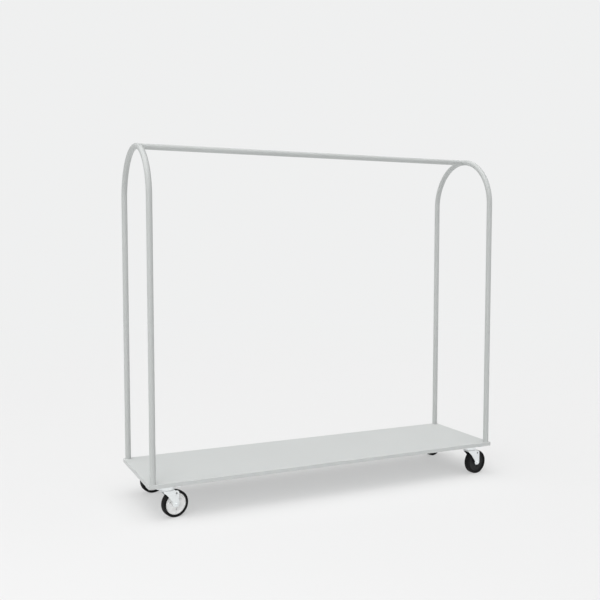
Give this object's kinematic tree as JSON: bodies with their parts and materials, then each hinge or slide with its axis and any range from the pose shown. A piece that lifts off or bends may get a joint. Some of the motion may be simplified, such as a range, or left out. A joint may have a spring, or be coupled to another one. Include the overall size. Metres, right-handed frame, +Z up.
{
  "type": "rolling clothes rack",
  "caption": "Rolling clothes rack: a folded steel tray on swivel casters, a bent tube hoop across each end and a hanging rail between the hoops.",
  "frame": {"origin": "middle of the footprint, on the floor", "axes": "+X along the hanging rail, +Y across the tray, +Z up"},
  "size_m": [1.5045, 0.408, 1.366],
  "materials": {
    "grey_paint_tray": "satin powder coat",
    "grey_paint": "satin powder coat",
    "grey_paint_under": "satin powder coat",
    "turned_steel": "turned",
    "black_screw": "black oxide",
    "zinc_fastener": "bright zinc plating",
    "zinc_pressed": "bright zinc plating on pressed sheet",
    "bearing_steel": "polished",
    "nylon": "natural nylon",
    "white_wheel": "moulded, fine grain",
    "black_wheel": "moulded, fine grain",
    "black_rubber": "matte rubber"
  },
  "bodies": {
    "frame": {"caster_screws": "zinc_fastener", "caster_weld_nuts": "turned_steel", "centre_stiffener": "grey_paint_under", "foot_bolts": "zinc_fastener", "foot_inserts": "turned_steel", "foot_washers": "zinc_fastener", "left_cross_member": "grey_paint_under", "left_hoop": "grey_paint", "rail_grub_screws": "black_screw", "rail_spigots": "turned_steel", "right_cross_member": "grey_paint_under", "right_hoop": "grey_paint", "top_rail": "grey_paint", "tray": "grey_paint_tray", "front_left_top_plate": "zinc_pressed", "front_left_ball_ring": "bearing_steel", "front_left_kingpin": "zinc_pressed", "front_left_thrust_washer": "nylon", "front_right_top_plate": "zinc_pressed", "front_right_ball_ring": "bearing_steel", "front_right_kingpin": "zinc_pressed", "front_right_thrust_washer": "nylon", "rear_left_top_plate": "zinc_pressed", "rear_left_ball_ring": "bearing_steel", "rear_left_kingpin": "zinc_pressed", "rear_left_thrust_washer": "nylon", "rear_right_top_plate": "zinc_pressed", "rear_right_ball_ring": "bearing_steel", "rear_right_kingpin": "zinc_pressed", "rear_right_thrust_washer": "nylon"},
    "front_left_swivel": {"front_left_fork": "zinc_pressed", "front_left_axle_bolt": "zinc_fastener", "front_left_axle_nut": "zinc_fastener", "front_left_axle_sleeve": "turned_steel"},
    "front_left_rolling_wheel": {"front_left_wheel": "white_wheel", "front_left_wheel_bush": "nylon", "front_left_tyre": "black_rubber"},
    "front_right_swivel": {"front_right_fork": "zinc_pressed", "front_right_axle_bolt": "zinc_fastener", "front_right_axle_nut": "zinc_fastener", "front_right_axle_sleeve": "turned_steel"},
    "front_right_rolling_wheel": {"front_right_wheel": "black_wheel", "front_right_wheel_bush": "nylon", "front_right_tyre": "black_rubber"},
    "rear_left_swivel": {"rear_left_fork": "zinc_pressed", "rear_left_axle_bolt": "zinc_fastener", "rear_left_axle_nut": "zinc_fastener", "rear_left_axle_sleeve": "turned_steel"},
    "rear_left_rolling_wheel": {"rear_left_wheel": "white_wheel", "rear_left_wheel_bush": "nylon", "rear_left_tyre": "black_rubber"},
    "rear_right_swivel": {"rear_right_fork": "zinc_pressed", "rear_right_axle_bolt": "zinc_fastener", "rear_right_axle_nut": "zinc_fastener", "rear_right_axle_sleeve": "turned_steel"},
    "rear_right_rolling_wheel": {"rear_right_wheel": "black_wheel", "rear_right_wheel_bush": "nylon", "rear_right_tyre": "black_rubber"}
  },
  "joints": [
    {"name": "front_left_caster_swivel", "type": "hinge", "parent": "frame", "child": "front_left_swivel", "pos_m": [-0.673, -0.16, 0.1], "axis": [0, 0, 1], "continuous": true},
    {"name": "front_left_wheel_spin", "type": "hinge", "parent": "front_left_swivel", "child": "front_left_rolling_wheel", "pos_m": [-0.64257, -0.15408, 0.05], "axis": [-0.1908, 0.9816, 0], "continuous": true},
    {"name": "front_right_caster_swivel", "type": "hinge", "parent": "frame", "child": "front_right_swivel", "pos_m": [0.673, -0.16, 0.1], "axis": [0, 0, 1], "continuous": true},
    {"name": "front_right_wheel_spin", "type": "hinge", "parent": "front_right_swivel", "child": "front_right_rolling_wheel", "pos_m": [0.70377, -0.15622, 0.05], "axis": [-0.1219, 0.9925, 0], "continuous": true},
    {"name": "rear_left_caster_swivel", "type": "hinge", "parent": "frame", "child": "rear_left_swivel", "pos_m": [-0.673, 0.16, 0.1], "axis": [0, 0, 1], "continuous": true},
    {"name": "rear_left_wheel_spin", "type": "hinge", "parent": "rear_left_swivel", "child": "rear_left_rolling_wheel", "pos_m": [-0.64238, 0.16485, 0.05], "axis": [-0.1564, 0.9877, 0], "continuous": true},
    {"name": "rear_right_caster_swivel", "type": "hinge", "parent": "frame", "child": "rear_right_swivel", "pos_m": [0.673, 0.16, 0.1], "axis": [0, 0, 1], "continuous": true},
    {"name": "rear_right_wheel_spin", "type": "hinge", "parent": "rear_right_swivel", "child": "rear_right_rolling_wheel", "pos_m": [0.70294, 0.16802, 0.05], "axis": [-0.2588, 0.9659, 0], "continuous": true}
  ]
}
